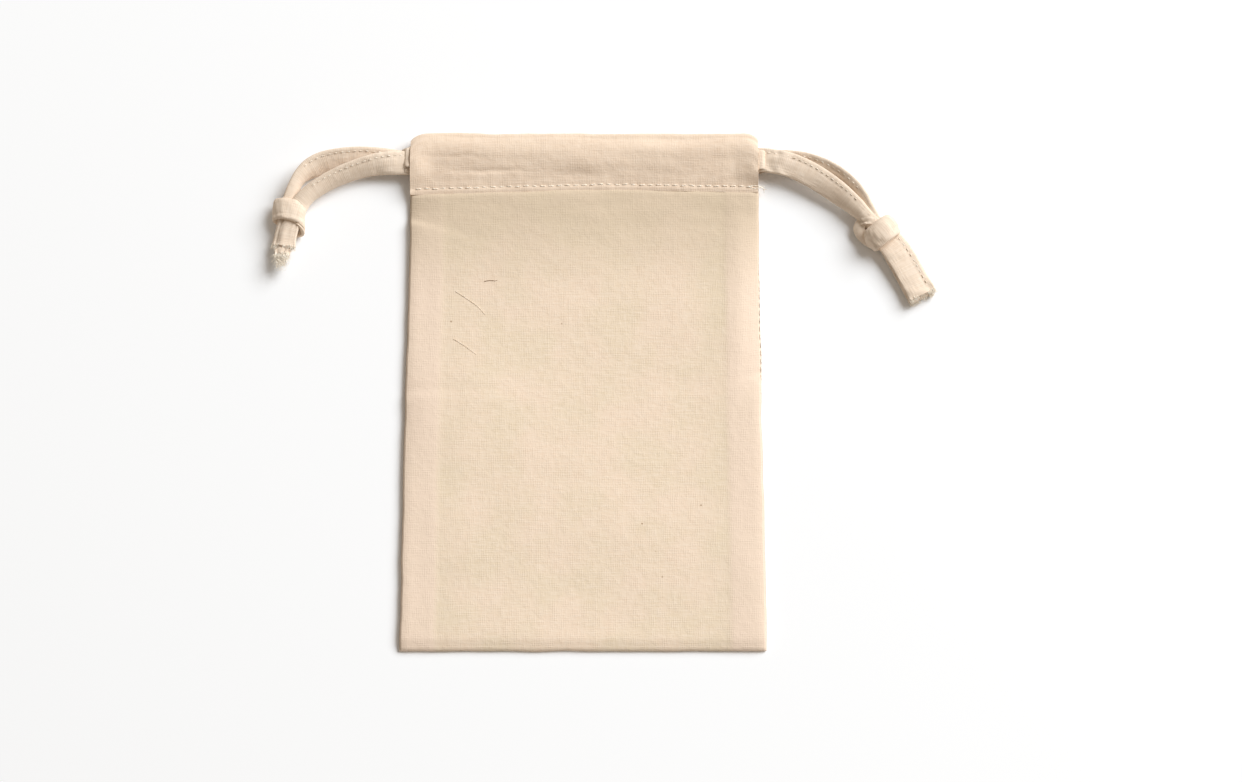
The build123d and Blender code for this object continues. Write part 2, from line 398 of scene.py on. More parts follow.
def twisted_thread(name, colour, groove_shade):
    """Spun cotton thread: pale, matt, with slanting twist bands and painted shade in their grooves."""
    material = bpy.data.materials.new(name)
    material.use_nodes = True
    tree = material.node_tree
    tree.nodes.clear()
    place = add(tree, "TexCoord", {}, out=3)  # object coordinates
    slanting = {"Vector": place, "Scale": WAVE_PERIOD / (TWIST_PITCH * MM), "Distortion": 0.4}
    twist = add(tree, "TexWave", slanting, out=1, wave_type="BANDS", bands_direction="DIAGONAL")
    # Painted shade: the grooves of the twist take the darker colour.
    shade = add(tree, "Mix", {SHARE: twist, FROM: linear(groove_shade), TO: linear(colour)},
                out=MIXED, data_type="RGBA")
    relief = add(tree, "Bump", {"Strength": 0.5, "Distance": 0.0001, "Height": twist})
    surface = add(tree, "BsdfPrincipled", {
        "Base Color": shade, "Roughness": 0.85, "Specular IOR Level": 0.3, "Sheen Weight": 0.3,
        "Normal": relief,
    })
    output = tree.nodes.new("ShaderNodeOutputMaterial")
    tree.links.new(surface, output.inputs["Surface"])
    return material


THREAD = twisted_thread("cotton_sewing_thread", "#FFF6E8", "#EEDDC6")
FIBRE = twisted_thread("frayed_cotton_fibre", "#FFF8EA", "#FCEEDA")
HUSK = twisted_thread("brown_husk_fibre", "#A07C5C", "#8A6848")

# %% [markdown]
# ## Cloth made from a flat grid
# A sewer starts from a flat cut, and so does each cloth here. `create_grid` makes the flat cut, its
# UV map keeps where each point was on the cut, and then every point is moved to where it lies.
# The Solidify modifier gives the ply its thickness, inwards from the outer face.

# %% Laying a flat cut
def shown(name, mesh, material):
    """The object at the origin that shows a mesh in one material."""
    mesh.materials.append(material)
    piece = bpy.data.objects.new(name, mesh)
    bpy.context.scene.collection.objects.link(piece)
    return piece


def finished(name, bm, material):
    """The object made from a closed bmesh, smooth shaded."""
    bmesh.ops.recalc_face_normals(bm, faces=bm.faces)
    mesh = bpy.data.meshes.new(name)
    bm.to_mesh(mesh)
    bm.free()
    mesh.shade_smooth()
    return shown(name, mesh, material)


def laid_cloth(name, cut, cell, lay, material, outward, sign=1):
    """A cut of (width, length) mm in cells of about this size, each point laid by lay(across, along).

    outward is a place on the piece and the way its outer face looks there. sign is -1 when the cut
    runs to the left, so that the weave of two halves is one weave.
    """
    columns, rows = (max(2, round(side / cell)) for side in cut)
    bm = bmesh.new()
    bmesh.ops.create_grid(bm, x_segments=columns, y_segments=rows, size=0.5)
    cloth = bm.loops.layers.uv.new("cloth")
    for face in bm.faces:
        for loop in face.loops:
            flat = loop.vert.co
            loop[cloth].uv = ((flat.x + 0.5) * cut[0] * MM * sign, (flat.y + 0.5) * cut[1] * MM)
    for vertex in bm.verts:
        across, along = (vertex.co.x + 0.5) * cut[0], (vertex.co.y + 0.5) * cut[1]
        vertex.co = Vector(lay(across, along)) * MM
    bm.normal_update()
    probe = min(bm.faces, key=lambda face: (face.calc_center_median() - Vector(outward[0]) * MM).length)
    if probe.normal.dot(Vector(outward[1])) < 0:
        bmesh.ops.reverse_faces(bm, faces=bm.faces)
    for face in bm.faces:
        face.smooth = True
    for edge in bm.edges:
        edge.smooth = not edge.is_boundary  # a sharp rim, so that the cloth's shading runs to its edge
    mesh = bpy.data.meshes.new(name)
    bm.to_mesh(mesh)
    bm.free()
    piece = shown(name, mesh, material)
    ply = piece.modifiers.new("ply", "SOLIDIFY")
    ply.thickness = CLOTH * MM
    ply.offset = -1
    print(name, "has", columns * rows, "cells")
    return piece

# %% [markdown]
# ## The bag's body
# The body is the strip of cloth below the casing: up the back, round the bottom fold and down the
# front. Flat cotton is never quite flat. Its front falls in a long soft slope from the thick
# casing, it has one faint crease across its middle from being stored folded, and the turned-in
# seam plies lift a band along each side. `front_height` holds all of that, because the stray
# threads that lie on the bag need the same height.

# %% The height of the front of the body
FRONT_Z = node_box("front_panel")[0].z + CLOTH  # top of the flat front
MIDDLE_Z = BOTTOM_FOLD_RADIUS  # level of the seam between front and back
SLOPE_LIFT = 0.74  # how much the front rises towards the casing
CREASE_Y = -2.0


def wander(x):
    """How far, in mm, the hem and its stitches stray from a straight line: upwards in the middle."""
    return through([(-51, -0.55), (-28, 0.1), (4, 0.95), (28, 0.7), (51, 0.2)], x)


def front_height(x, y):
    """Height in mm of the outer face of the body's front."""
    z = FRONT_Z + 0.15
    z += SLOPE_LIFT * max(0.0, (y - 14) / (LIP_Y - 14)) ** 2.2
    z += 0.12 * ease((abs(x) - SEAM_BAND_X + 1.0) / 2.2)
    crease_y = CREASE_Y + 1.2 * ripple(x, 0, 30, 1, 1)
    kept = 0.1 + 0.9 * math.exp(-(x + HALF_WIDTH) / 9)  # the crease shows most at the left
    z += kept * (0.20 * bump(y, crease_y - 1.6, 2.6) - 0.22 * bump(y, crease_y + 1.4, 1.5))
    # The cloth thins out towards its turned edges.
    z -= 0.50 * (1 - ease((y - BOTTOM_FOLD_Y) / 2.4)) + 0.25 * (1 - ease((HALF_WIDTH - abs(x)) / 2.5))
    inside = ease((HALF_WIDTH - abs(x)) / 6) * ease((y - BOTTOM_FOLD_Y) / 6)
    z += inside * (0.30 * ripple(x, y, 34, 26, 2) + 0.06 * ripple(x, y, 12, 8, 3))
    z += inside * 0.012 * ripple(x, y, 3.2, 2.4, 4)
    # Soft creases below the hem.
    near_hem = ease((y - 34) / 20)
    z += near_hem * (0.07 * ripple(x, y, 12, 3.4, 5) + 0.03 * ripple(x, y, 5, 2.2, 6))
    # The upper part of the right edge turns over softly.
    z -= 0.9 * ease((x - 43.5) / 8) * ease((y + 8) / 16) * ease((60 - y) / 12)
    # A short sharp fold at the left edge, and a nick at the right one.
    fold_line = 48.6 - 0.30 * (x + HALF_WIDTH)
    z -= 0.85 * ease((y - fold_line) / 2.4) * ease((60 - y) / 8) * math.exp(-(x + HALF_WIDTH) / 9)
    z -= 0.35 * bump(y, 4.5 - 0.25 * (HALF_WIDTH - x), 1.1) * math.exp(-(HALF_WIDTH - x) / 5)
    return z


def body_edge(sign, y):
    """How far out the side edge is at this height of the bag: straight, with a little wander."""
    taper = 0.7 * ease((y - BOTTOM_FOLD_Y) / (LIP_Y - BOTTOM_FOLD_Y))
    return HALF_WIDTH + 0.25 - taper + 0.22 * ripple(y, sign, 17, 1, 8) + 0.1 * ripple(y, sign, 6, 1, 9)


print("front at the hem", round(front_height(10, LIP_Y), 2), "mm")
print("front in the middle", round(front_height(10, 0), 2), "mm")

# %% [markdown]
# Each side edge is a turned seam: front and back each roll in round a small radius and meet in a
# crease half way down. The cloth is cut wide enough for that roll. The body is made in two halves
# because the two drawstrings pull its two top corners.

# %% Lay one half of the body
EDGE_ROLL = 0.30  # radius of the turned edge, mm
ROLL_CUT = EDGE_ROLL * math.radians(150)  # cloth that the roll takes
BODY_CELL = 0.8
panel_long = LIP_Y + TUCK - BOTTOM_FOLD_Y
fold_long = math.pi * BOTTOM_FOLD_RADIUS
body_long = 2 * panel_long + fold_long
body_wide = HALF_WIDTH + ROLL_CUT


def body_profile(x, along):
    """Place (y, z) and outward normal of the body's outer face at this distance along its cut.

    The cut starts at the back's top, runs down the back, round the bottom fold and up the front.
    """
    if along < panel_long:
        return (LIP_Y + TUCK - along, 0.0), (0.0, -1.0)
    if along > panel_long + fold_long:
        y = BOTTOM_FOLD_Y + along - panel_long - fold_long
        return (y, front_height(x, y)), (0.0, 1.0)
    turn = (along - panel_long) / BOTTOM_FOLD_RADIUS
    top = front_height(x, BOTTOM_FOLD_Y)
    y = BOTTOM_FOLD_Y - (BOTTOM_FOLD_RADIUS + 0.15 * ripple(x, 0, 9, 1, 10)) * math.sin(turn)
    return (y, top * (1 - math.cos(turn)) / 2), (-math.sin(turn), -math.cos(turn))


def lay_body(sign):
    """How one half of the body is laid: its edge rolled in, its top tucked under the casing's lip."""
    def lay(across, along):
        flat = min(across, HALF_WIDTH - EDGE_ROLL)
        (y, z), (out_y, out_z) = body_profile(sign * flat, along)
        edge = body_edge(sign, y) - EDGE_ROLL
        x = flat * edge / (HALF_WIDTH - EDGE_ROLL)
        if across > flat:
            turn = (across - flat) / EDGE_ROLL
            x = edge + EDGE_ROLL * math.sin(turn)
            drop = EDGE_ROLL * (1 - math.cos(turn))
            y, z = y - out_y * drop, z - out_z * drop
        lip = LIP_Y + wander(sign * x) if out_z > 0.9 else LIP_Y + 9
        return sign * x, y, z - 0.6 * ease((y - lip + 0.3) / 0.9)
    return lay


body_halves = {}
for side, sign in SIDES.items():
    body_halves[side] = laid_cloth(
        f"{side}_body_cloth", (body_wide, body_long), BODY_CELL, lay_body(sign), BODY_MUSLIN,
        ((sign * 20, 0, FRONT_Z), (0, 0, 1)), sign,
    )

# %% [markdown]
# ## The casings
# A casing is the same cloth turned over at the mouth: down the outside as the face, and back up the
# inside as the hem. Two tapes lie side by side in it and push two soft ridges out of its face, and
# the stitch line pulls the cloth in. The sewing thread is a little too tight, as it always is, so
# small puckers run off the stitch line, and every needle hole is a dimple.

# %% The face of the casing
STITCH_PITCH = 2.4
STITCH_LONG = 1.9
FACE_HEIGHTS = [
    (57.9, 2.28), (58.9, 2.62), (STITCH_Y, 2.60), (60.5, 2.82), (61.9, 3.14), (63.6, 3.58),
    (65.2, 4.02), (67.0, 4.48), (68.9, 4.86), (70.6, 5.05), (72.2, 5.02), (73.6, 4.74), (TOP_FOLD_Y, 4.25),
]
END_HEIGHTS = [  # at the casing's two ends, where it stands open over its tapes
    (57.9, 2.34), (58.9, 2.62), (STITCH_Y, 2.64), (61.0, 3.20), (62.6, 4.10), (65.5, 5.25),
    (69.5, 5.45), (72.6, 5.20), (TOP_FOLD_Y, 4.40),
]
stitch_room = stitches_high.x - stitches_low.x
stitch_count = round((stitch_room - STITCH_LONG) / STITCH_PITCH) + 1
stitch_xs = [(i - (stitch_count - 1) / 2) * STITCH_PITCH for i in range(stitch_count)]


def needle_holes(x):
    """1 at a needle hole, 0 half way between two."""
    phase = (x - stitch_xs[0] + STITCH_PITCH / 2) / STITCH_PITCH
    return max(0.0, math.cos(2 * math.pi * phase)) ** 6


def face_height(x, y):
    """Height in mm of the outer face of the front casing."""
    valley = 0.5 * ripple(x, 0, 26, 1, 20)
    at = y + 0.9 * ripple(x, y, 19, 9, 21) * ease((y - 62) / 4)
    end = ease((abs(x) - 43) / 7)
    z = through(FACE_HEIGHTS, at) * (1 - end) + through(END_HEIGHTS, at) * end
    z -= 0.10 * bump(y, 68.0, 1.6) * (1 + 2 * valley)
    lively = ease((y - STITCH_Y - 0.8) / 3)
    z += lively * (0.16 * ripple(x, y, 17, 5.0, 22) + 0.05 * ripple(x, y, 6.0, 2.8, 23))
    z += lively * 0.02 * ripple(x, y, 2.6, 1.6, 24)
    # Puckers off the stitch line, and the needle holes in it.
    pucker = math.exp(-abs(y - STITCH_Y) / 2.6)
    z += pucker * (0.10 * ripple(x, y, 3.4, 9, 25) + 0.05 * ripple(x, y, 1.7, 7, 26))
    z -= 0.08 * needle_holes(x) * bump(y, STITCH_Y, 0.42)
    # Two short creases where the cloth was squeezed, left of the middle.
    z -= 0.30 * bump(y, 64.4 + 0.7 * ripple(x, 0, 6, 1, 27), 0.75) * bump(x, -27, 11)
    z -= 0.16 * bump(y, 68.6 + 0.5 * ripple(x, 0, 6, 1, 28), 0.7) * bump(x, -36, 9)
    return z


def mouth_edge(x):
    """Y of the mouth's fold: nearly straight, rounded off at the two ends of the casing."""
    left, right = (min(1.0, max(0.0, way / 5.0)) for way in (x + HALF_WIDTH, HALF_WIDTH - x))
    drop = 4.0 * (1 - math.sqrt(1 - (1 - left) ** 2)) + 3.4 * (1 - math.sqrt(1 - (1 - right) ** 2))
    return MOUTH_Y - drop - 0.25 + 0.22 * ripple(x, 0, 15, 1, 30) + 0.1 * ripple(x, 0, 5, 1, 31)


print("stitches in a row:", stitch_count)

# %% [markdown]
# One casing half is one cut: hem, fold, face. The fold at the mouth is a half round between the two.
# The back casing is the same cut turned over, with its face flat on the table.

# %% Lay one half of a casing
CASING_CELL = 0.36
CASING_INSET = 0.55  # the casing is this much narrower than the bag at each side, mm
FOLD_OVERHANG = 1.3  # how far the half round of the fold stands out past the tunnel, mm
hem_long = TOP_FOLD_Y - LIP_Y
top_fold_long = math.pi * TOP_FOLD_RADIUS
casing_long = 2 * hem_long + top_fold_long
FRONT_HEM_HEIGHTS = [(57.9, 1.55), (60.0, 1.60), (62.5, 1.90), (66.0, 2.45), (TOP_FOLD_Y, 2.45)]
BACK_HEM_HEIGHTS = [(57.9, 1.25), (60.0, 1.25), (62.5, 1.45), (66.0, 2.00), (TOP_FOLD_Y, 2.00)]


def back_face_height(x, y):
    """Height of the outer face of the back casing: on the table, pulled up a little by its stitches."""
    return 0.24 * bump(y, STITCH_Y, 0.9) + 0.04 * (1 + ripple(x, y, 9, 6, 33))


def tunnel_squeeze(x):
    """The share of its depth in Y that the rounding of the mouth leaves the casing."""
    return (mouth_edge(x) - TOP_FOLD_RADIUS - LIP_Y) / hem_long


def lay_casing(sign, front):
    """How one half of a casing is laid: up its hem, round the fold at the mouth, down its face."""
    face = face_height if front else back_face_height
    hems = FRONT_HEM_HEIGHTS if front else BACK_HEM_HEIGHTS

    def lay(across, along):
        x = sign * across * (1 - CASING_INSET / HALF_WIDTH)
        squeeze = tunnel_squeeze(x)
        stray = wander(x) * ease((TOP_FOLD_Y - 6 - LIP_Y - min(along, casing_long - along)) / 9) * front
        if along < hem_long:
            y = LIP_Y + along
            z = through(hems, y)
            y += stray
        elif along > hem_long + top_fold_long:
            y = TOP_FOLD_Y - (along - hem_long - top_fold_long)
            z = face(x, y)
            y += stray
        else:
            turn = (along - hem_long) / TOP_FOLD_RADIUS
            hem_z, face_z = through(hems, TOP_FOLD_Y), face(x, TOP_FOLD_Y)
            y = TOP_FOLD_Y
            z = hem_z + (face_z - hem_z) * (1 - math.cos(turn)) / 2
            return x, LIP_Y + (y - LIP_Y) * squeeze + FOLD_OVERHANG * math.sin(turn), z
        end = ease((abs(x) - HALF_WIDTH + 2.5) / 2.5)
        z += 0.25 * end * (1 if front and along > hem_long else 0) * ripple(y, sign, 2.2, 1, 35)
        return x, LIP_Y + (y - LIP_Y) * squeeze, z
    return lay


casing_halves = {}
for side, sign in SIDES.items():
    for face_name, front in (("front", True), ("back", False)):
        outside = (0, 0, 1) if front else (0, 0, -1)
        casing_halves[side, face_name] = laid_cloth(
            f"{side}_{face_name}_casing_cloth", (HALF_WIDTH, casing_long), CASING_CELL,
            lay_casing(sign, front), CASING_MUSLIN,
            ((sign * 20, 64, 4.5 if front else 0), outside), sign,
        )

# %% [markdown]
# ## The tapes
# Each drawstring is a strip of muslin folded in and sewn along one edge. Flat it is 6.5 mm wide and
# about 1 mm thick, with a fuller roll along the sewn edge. Where a tape bends or is pulled into a
# knot it folds lengthwise, so it goes from a flat band to a tube.
# A tape is a tube of rings: `create_cone` without caps gives the tube, `subdivide_edges` cuts it
# into rings, and each ring's points are moved onto the tape's section at its place on the line.

# %% The section of a folded tape
def tape_section(turn, look):
    """Place across and above the tape's line, in mm, of the point at this turn, 0 to 1, round it."""
    c, s = math.cos(2 * math.pi * turn), math.sin(2 * math.pi * turn)
    share = math.copysign(abs(c) ** 0.72, c)  # across the width, -1 to 1
    half_thick = look["thick"] / 2 * (1 + 0.30 * ease((share - 0.55) / 0.3))
    above = half_thick * math.copysign(abs(s) ** 0.62, s)
    if s > 0:
        above -= 0.16 * bump(share, 0.52, 0.09)
    above += look["pleat"] * math.cos(math.pi * (look["pleats"] * share + 0.35)) * (1 - share ** 4)
    wide = look["wide"]
    curl = max(look["curl"], 0.02)
    radius = wide / curl
    bend = share / 2 * curl
    rise = radius * (1 - math.cos(curl / 2)) / 2
    return (radius + above) * math.sin(bend), (radius + above) * math.cos(bend) - radius + rise


def look_at(looks, share):
    """The tape's look at this share of its length, each value a smooth curve through the looks given."""
    return {key: through([(at, look[key]) for at, look in looks], share) for key in looks[0][1]}


def look(wide=6.5, thick=1.0, roll=0, curl=0, pleat=0.0, pleats=3, rough=0.1):
    """A tape's look at one place: sizes in mm, and how far it leans and curls in degrees."""
    return {"wide": wide, "thick": thick, "roll": math.radians(roll), "curl": math.radians(curl),
            "pleat": pleat, "pleats": pleats, "rough": rough}


TABLE_NEAR = 0.6  # mm, the height below which a tape feels the table
TABLE_GAP = 0.02  # mm, the height that it never gets below


def above_table(point):
    """The point, eased up where it would sink into the table that the bag lies on."""
    if point.z < TABLE_NEAR:
        room = TABLE_NEAR - TABLE_GAP
        point.z = TABLE_GAP + room * math.exp((point.z - TABLE_NEAR) / room)
    return point


def swept(name, frames, material, around=28):
    """A tube through the frames, closed at both ends.

    A frame is (place, across, above, look): a point, two unit directions and a look.
    """
    bm = bmesh.new()
    bmesh.ops.create_cone(bm, segments=around, radius1=1, radius2=1, depth=1, cap_ends=False)
    upright = [edge for edge in bm.edges if abs(edge.verts[0].co.z - edge.verts[1].co.z) > 0.5]
    bmesh.ops.subdivide_edges(bm, edges=upright, cuts=len(frames) - 2, use_grid_fill=True)
    cloth = bm.loops.layers.uv.new("cloth")
    along = [0.0]
    for before, after in zip(frames, frames[1:]):
        along.append(along[-1] + (after[0] - before[0]).length)
    girth = 2 * frames[len(frames) // 2][3]["wide"]
    where = {}  # each point's turn round the tube, 0 to 1, and the number of its ring
    for vertex in bm.verts:
        turn = math.atan2(vertex.co.y, vertex.co.x) / (2 * math.pi) % 1.0
        where[vertex] = (turn, round((vertex.co.z + 0.5) * (len(frames) - 1)))
    for face in bm.faces:
        turns = [where[loop.vert][0] for loop in face.loops]
        for loop, turn in zip(face.loops, turns):
            lifted = turn + (1.0 if max(turns) - min(turns) > 0.5 and turn < 0.5 else 0.0)
            loop[cloth].uv = (lifted * girth * MM, along[where[loop.vert][1]] * MM)
    for vertex, (turn, ring) in where.items():
        place, across, above, size = frames[ring]
        w, h = tape_section(turn, size)
        point = place + across * w + above * h
        shake = size["rough"] * ripple(point.x, point.y, 3.1, 2.7, point.z / 3)
        vertex.co = above_table(point + above * shake) * MM
    bmesh.ops.holes_fill(bm, edges=[edge for edge in bm.edges if edge.is_boundary], sides=0)
    return finished(name, bm, material)


def free_frames(line, outer, looks):
    """Frames along a free strand. outer is 1 where the bend's outside is to its left, else -1."""
    frames = []
    last = len(line) - 1
    for i, place in enumerate(line):
        ahead = (line[min(i + 2, last)] - line[max(i - 2, 0)]).normalized()
        outside = outer * UP.cross(ahead).normalized()
        up = outer * ahead.cross(outside)
        size = look_at(looks, i / last)
        roll = size["roll"]
        across = outside * math.cos(roll) + up * math.sin(roll)
        above = up * math.cos(roll) - outside * math.sin(roll)
        frames.append((place, across, above, size))
    return frames


def mouth_of(frames, deep, open_by):
    """Frames that turn a cut end in on itself, so that it ends in an open mouth, not in a cap."""
    place, across, above, size = frames[-1]
    ahead = (frames[-1][0] - frames[-3][0]).normalized()
    inner = []
    for step, shrink in ((0.10, 0.90), (0.0, 0.72), (-deep * 0.5, 0.62), (-deep, 0.5)):
        thin = {**size, "thick": size["thick"] * shrink * open_by,
                "wide": size["wide"] * (0.86 + 0.1 * shrink)}
        inner.append((place + ahead * step, across, above, thin))
    return frames + inner


# %% [markdown]
# ### The four strands
# Each strand leaves the casing flat, leans over so that its outer edge stands up, folds lengthwise
# as it nears the knot, and comes out of the knot as a flat or bunched tail with a frayed mouth.

# %% Looks along the strands, and their tubes
LOOKS = {
    "left_strand_front": [
        (0.00, look(7.0, 1.0, 4, 6, rough=0.10)), (0.10, look(7.0, 1.1, 16, 12, rough=0.22)),
        (0.28, look(6.5, 1.1, 42, 24, 0.05, 3)), (0.50, look(6.2, 1.2, 48, 60, 0.05, 3)),
        (0.66, look(6.0, 1.3, 40, 130)), (0.76, look(6.0, 1.5, 10, 110, 0.2)),
        (0.84, look(6.4, 1.6, 0, 50, 0.38, 5)), (0.95, look(6.6, 1.6, -4, 40, 0.42, 5, 0.16)),
        (1.00, look(7.0, 2.2, -4, 40, 0.36, 5, 0.4)),
    ],
    "left_strand_back": [
        (0.00, look(6.6, 0.9, 0, 4)), (0.14, look(6.8, 1.0, 16, 8)), (0.35, look(6.6, 1.0, 32, 16)),
        (0.50, look(6.8, 1.1, 40, 50)), (0.62, look(5.8, 1.2, 60, 150)), (0.74, look(5.6, 1.4, 30, 130)),
        (0.86, look(5.4, 1.3, 4, 40, 0.3, 4)), (1.00, look(4.4, 1.7, 0, 30, 0.3, 4, 0.4)),
    ],
    "right_strand_front": [
        (0.00, look(7.2, 1.0, 2, 6, rough=0.2)), (0.08, look(7.2, 1.1, 3, 10, 0.12, 4, 0.35)),
        (0.22, look(7.2, 1.1, 11, 20, 0.05, 3)), (0.38, look(7.0, 1.1, 24, 44, 0.05, 3)),
        (0.50, look(6.4, 1.2, 36, 110)), (0.60, look(5.6, 1.4, 38, 160)), (0.68, look(7.4, 1.3, 4, 40)),
        (0.76, look(8.2, 1.2, -4, 12)), (0.94, look(8.3, 1.2, -6, 6, rough=0.16)),
        (1.00, look(8.7, 1.9, -6, 8, 0.1, 4, 0.4)),
    ],
    "right_strand_back": [
        (0.00, look(6.6, 0.9, 0, 6)), (0.15, look(6.6, 1.0, 20, 12)), (0.34, look(6.6, 1.0, 42, 24)),
        (0.48, look(6.2, 1.1, 54, 80)), (0.60, look(5.4, 1.3, 54, 160)), (0.70, look(6.0, 1.2, 8, 60)),
        (0.82, look(7.2, 1.0, 0, 8)), (1.00, look(7.6, 1.3, 0, 6, 0.1, 4, 0.35)),
    ],
}
MOUTH_DEEP = {"left": 0.6, "right": 1.4}  # how deep the cut ends stand open, mm
MOUTH_OPEN = 0.9  # how far they stand open, as a share of the tape's thickness
strands, strand_frames = {}, {}
for strand, line in lines.items():
    side = strand.split("_")[0]
    frames = free_frames(line, SIDES[side], LOOKS[strand])
    strand_frames[strand] = frames
    with_mouth = mouth_of(frames, MOUTH_DEEP[side], MOUTH_OPEN)
    strands[strand] = swept(f"{strand}_tape", with_mouth, TAPE_MUSLIN)
    print(strand, len(frames), "rings")

# %% [markdown]
# ### The tapes inside the casings
# Inside the casings each tape runs across the bag in the front tunnel, turns round the far end of
# the casing in a tight loop, and comes back in the back tunnel. Little of it shows until a
# drawstring is pulled and the cloth gathers along it.

# %% The held runs
EXIT_SHIFT = {"left": 2.2, "right": -3.6}  # how far a run leaves its lane at its exit, in Y, mm
LOOP_SHIFT = {"left": 2.8, "right": -3.4}  # and at its loop
UPPER_Z, LOWER_Z = 3.45, 1.25  # the levels of the two tunnels, mm
LOOP_UPPER_Z, LOOP_LOWER_Z = 4.6, 0.6  # the loop goes round the other drawstring's two strands
EXIT_LONG, LOOP_LONG, OPENED_LONG = 17, 6, 3.4  # over how much of the run it shifts and opens, mm
RUN_STEP = 0.8  # mm
RUN_PAST = 1.2  # how far the run goes on past its exits, into the free strands, mm
LOOP_REACH = 1.7  # how far the loop stands out of the casing, mm
LOOP_STEPS = 16


def held_line(side):
    """The line of a held run: from its front exit round the far end to its back exit."""
    sign = SIDES[side]
    lane = lane_y(side)

    def y_at(x):
        out = ease((sign * x - HALF_WIDTH + EXIT_LONG) / EXIT_LONG)
        loop = ease((-sign * x - HALF_WIDTH + LOOP_LONG) / LOOP_LONG)
        return lane + EXIT_SHIFT[side] * out + LOOP_SHIFT[side] * loop

    def opened(x, z, loop_z):
        return z + (loop_z - z) * ease((-sign * x - HALF_WIDTH + OPENED_LONG) / OPENED_LONG)

    count = int((2 * HALF_WIDTH + RUN_PAST) / RUN_STEP) + 1
    flat = [sign * (HALF_WIDTH + RUN_PAST - k * RUN_STEP) for k in range(count)]
    end = -sign * HALF_WIDTH
    loop_middle_z = (LOOP_UPPER_Z + LOOP_LOWER_Z) / 2
    loop_radius = (LOOP_UPPER_Z - LOOP_LOWER_Z) / 2
    line = [Vector((x, y_at(x), opened(x, UPPER_Z, LOOP_UPPER_Z))) for x in flat]
    for k in range(1, LOOP_STEPS):
        turn = math.pi * k / LOOP_STEPS
        x = end - sign * LOOP_REACH * math.sin(turn)
        line.append(Vector((x, y_at(end), loop_middle_z + loop_radius * math.cos(turn))))
    line += [Vector((x, y_at(x), opened(x, LOWER_Z, LOOP_LOWER_Z))) for x in reversed(flat)]
    return line


def held_frames(line):
    """Frames along a held run, its width in Y, crumpled where it turns in its loop."""
    frames = []
    last = len(line) - 1
    for i, place in enumerate(line):
        ahead = (line[min(i + 1, last)] - line[max(i - 1, 0)]).normalized()
        across = Vector((0, 1, 0))
        above = ahead.cross(across).normalized()
        across = above.cross(ahead)
        near_loop = bump(i / last, 0.5, 0.03)
        size = look(6.2 - 0.6 * near_loop, 0.8, pleat=0.12 * near_loop, pleats=6,
                    rough=0.05 + 0.22 * near_loop)
        frames.append((place, across, above, size))
    return frames


PULLS = [(0, 0), (15, 0), (30, 0), (0, 15), (0, 30), (15, 15), (30, 30)]  # mm, left and right
BETWEEN_TUNNELS_Z = 2.35  # mm


def press_flat(piece, side):
    """Squeezes a held run between the plies of its tunnels, wherever the two pulls put it in them."""
    for vertex in piece.data.vertices:
        x, y, z = vertex.co / MM
        for left_pull, right_pull in PULLS:
            moved = x + (right_pull if side == "right" else -left_pull)
            x_cut = moved * HALF_WIDTH / (HALF_WIDTH - (left_pull if moved > 0 else right_pull))
            inside = ease((HALF_WIDTH - 0.4 - abs(x_cut)) / 0.6)
            if inside == 0:
                continue
            at = LIP_Y + (y - LIP_Y) / tunnel_squeeze(x_cut)
            if vertex.co.z > BETWEEN_TUNNELS_Z * MM:
                low = through(FRONT_HEM_HEIGHTS, at) + 0.04
                high = face_height(x_cut, at) - CLOTH - 0.08
            else:
                low = back_face_height(x_cut, at) + CLOTH + 0.04
                high = through(BACK_HEM_HEIGHTS, at) - CLOTH - 0.04
            z = vertex.co.z / MM
            vertex.co.z += (max(low, min(high, z)) - z) * inside * MM


held = {}
for side in SIDES:
    held[side] = swept(f"{side}_held_run_tape", held_frames(held_line(side)), TAPE_MUSLIN, around=20)
    press_flat(held[side], side)

# %% [markdown]
# ### The knots
# Both strands of a drawstring are tied together in one overhand knot. From outside it shows as a
# few turns of tape laid over one another: a broad smooth turn on top, and the edges of the turns
# below it showing beside it. Each turn is the same swept tape, led round the knot's middle.

# %% Turns of tape round a knot
TURN_START = -100  # degrees, where a turn's two ends meet: below the knot, out of sight
TURN_STEPS = 72


def knot_axes(heading):
    """The two level directions of a knot: along its strand, and beside it."""
    ahead = Vector((math.cos(heading), math.sin(heading), 0))
    return ahead, Vector((-ahead.y, ahead.x, 0))


def knot_turn(middle, heading, wide_radius, high_radius, slant, lean, size):
    """Frames of one turn. slant puts its left side ahead of its right, and lean its top behind."""
    ahead, beside = knot_axes(heading)
    turns = [math.radians(TURN_START + 360 * k / TURN_STEPS) for k in range(TURN_STEPS + 1)]
    places = []
    for turn in turns:
        places.append(
            middle + beside * (wide_radius * math.cos(turn)) + UP * (high_radius * math.sin(turn))
            + ahead * (slant * math.cos(turn) - lean * math.sin(turn)))
    frames = []
    for k, (turn, place) in enumerate(zip(turns, places)):
        along = (places[min(k + 1, TURN_STEPS)] - places[max(k - 1, 0)]).normalized()
        outward = beside * (math.cos(turn) / wide_radius) + UP * (math.sin(turn) / high_radius)
        outward = (outward - along * outward.dot(along)).normalized()
        frames.append((place, outward.cross(along).normalized(), outward, size))
    return frames


knot_middles = {}
for side in SIDES:
    low, high = node_box(f"{side}_knot")
    knot_middles[side] = (low + high) / 2
    print(side, "knot at", [round(x, 1) for x in knot_middles[side]])

LEFT_HEADING = math.radians(-92)
RIGHT_HEADING = math.radians(-58)
